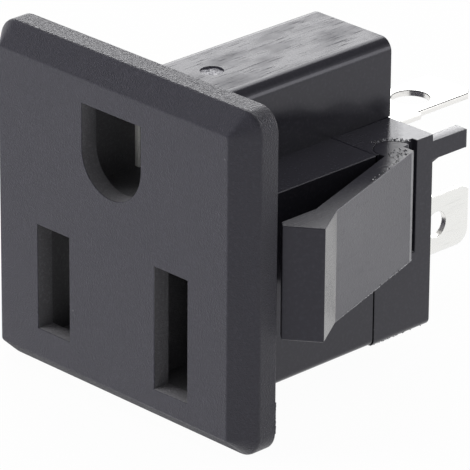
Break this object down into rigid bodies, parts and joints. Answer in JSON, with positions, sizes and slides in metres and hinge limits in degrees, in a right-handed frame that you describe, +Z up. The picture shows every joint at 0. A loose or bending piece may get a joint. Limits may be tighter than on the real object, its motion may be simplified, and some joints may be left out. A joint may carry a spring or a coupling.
{
  "type": "panel-mount power socket",
  "caption": "Snap-in panel outlet with blade slots and an earth hole in a bevelled flange, side latches and rear push-on tabs.",
  "frame": {"origin": "middle of the flange's back face, which seats on the front of the panel", "axes": "+X to the right as seen from the front, +Y into the panel towards the tabs, +Z up, earth hole above the blade slots"},
  "size_m": [0.032, 0.0361, 0.0272],
  "materials": {
    "housing_plastic": "black moulded nylon, fine matte grain",
    "cover_plastic": "black moulded nylon, satin",
    "contact_metal": "bright tin plate on brass strip"
  },
  "bodies": {
    "socket": {"front_housing": "housing_plastic", "rear_cover": "cover_plastic", "hot_contact": "contact_metal", "neutral_contact": "contact_metal", "ground_contact": "contact_metal"},
    "latch_right": {"snap_latch_right": "cover_plastic"},
    "latch_left": {"snap_latch_left": "cover_plastic"}
  },
  "joints": [
    {"name": "latch_right_flex", "type": "hinge", "parent": "socket", "child": "latch_right", "pos_m": [0.009, 0.0169, -0.00022], "axis": [0, 0, -1], "range_deg": [0, 12.9], "stiffness_Nm_per_rad": 1.5},
    {"name": "latch_left_flex", "type": "hinge", "parent": "socket", "child": "latch_left", "pos_m": [-0.009, 0.0169, -0.00022], "axis": [0, 0, 1], "range_deg": [0, 12.9], "stiffness_Nm_per_rad": 1.5}
  ]
}
